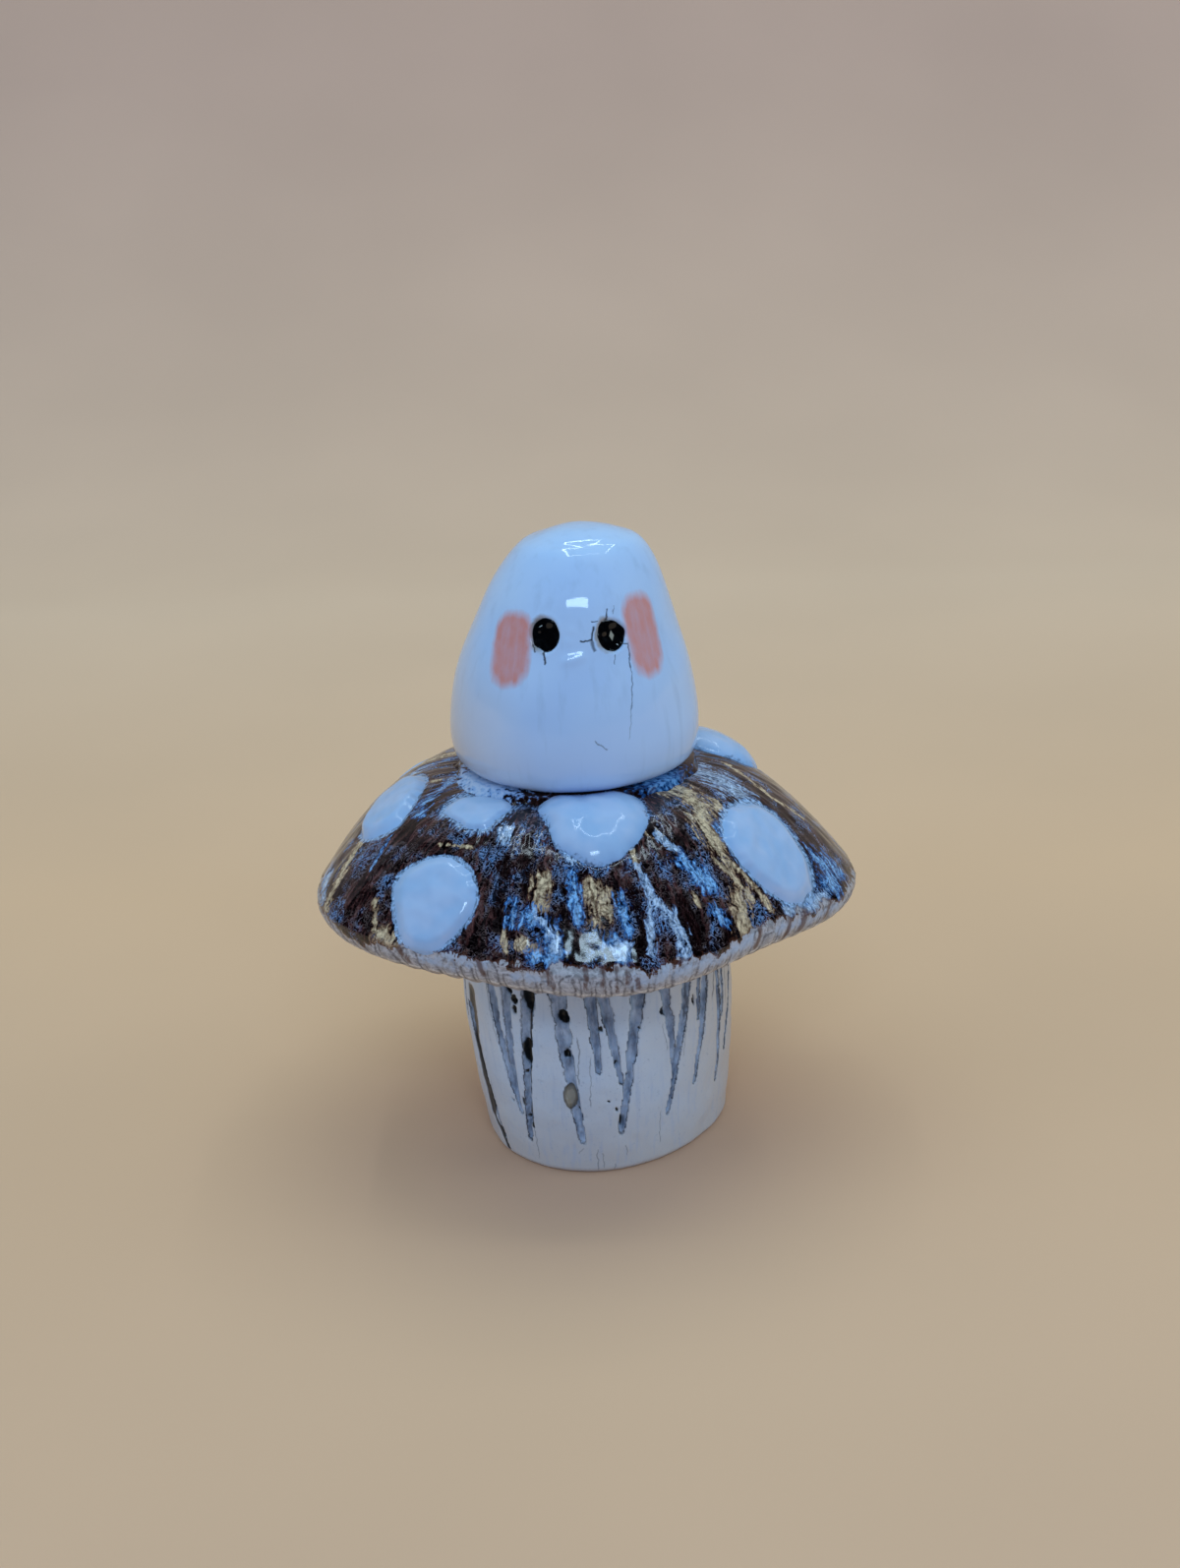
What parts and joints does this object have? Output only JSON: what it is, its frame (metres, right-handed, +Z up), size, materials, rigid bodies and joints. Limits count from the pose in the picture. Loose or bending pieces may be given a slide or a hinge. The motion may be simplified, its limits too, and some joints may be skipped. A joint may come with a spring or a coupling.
{
  "type": "ghost on mushroom figurine",
  "caption": "Hand-built ceramic ornament: a white ghost seated on a brown glazed mushroom cap with raised white spots, on a stout carved stem with a flat foot.",
  "frame": {"origin": "middle of the flat foot, on the table", "axes": "+Z up, the ghost looks along -Y, +X to the ghost's left hand, which is the viewer's right"},
  "size_m": [0.0647, 0.0619, 0.0764],
  "materials": {
    "stem_clay": "satin white clay with carved strokes stained blue-grey",
    "cap_glaze": "glossy dark brown running glaze with tan and blue breaks",
    "spot_glaze": "glossy white glaze",
    "ghost_glaze": "glossy white glaze with brushed pink cheeks",
    "eye_glaze": "glossy black glaze",
    "slip": "matt white slip"
  },
  "bodies": {
    "root": {"stem": "stem_clay", "stem_slip_joint": "slip", "cap": "cap_glaze", "spot_front": "spot_glaze", "spot_front_left": "spot_glaze", "spot_upper_left": "spot_glaze", "spot_left": "spot_glaze", "spot_right": "spot_glaze", "spot_back_right": "spot_glaze", "spot_back": "spot_glaze", "spot_back_left": "spot_glaze", "ghost_slip_joint": "slip", "ghost_body": "ghost_glaze", "eye_left": "eye_glaze", "eye_right": "eye_glaze"}
  },
  "joints": []
}
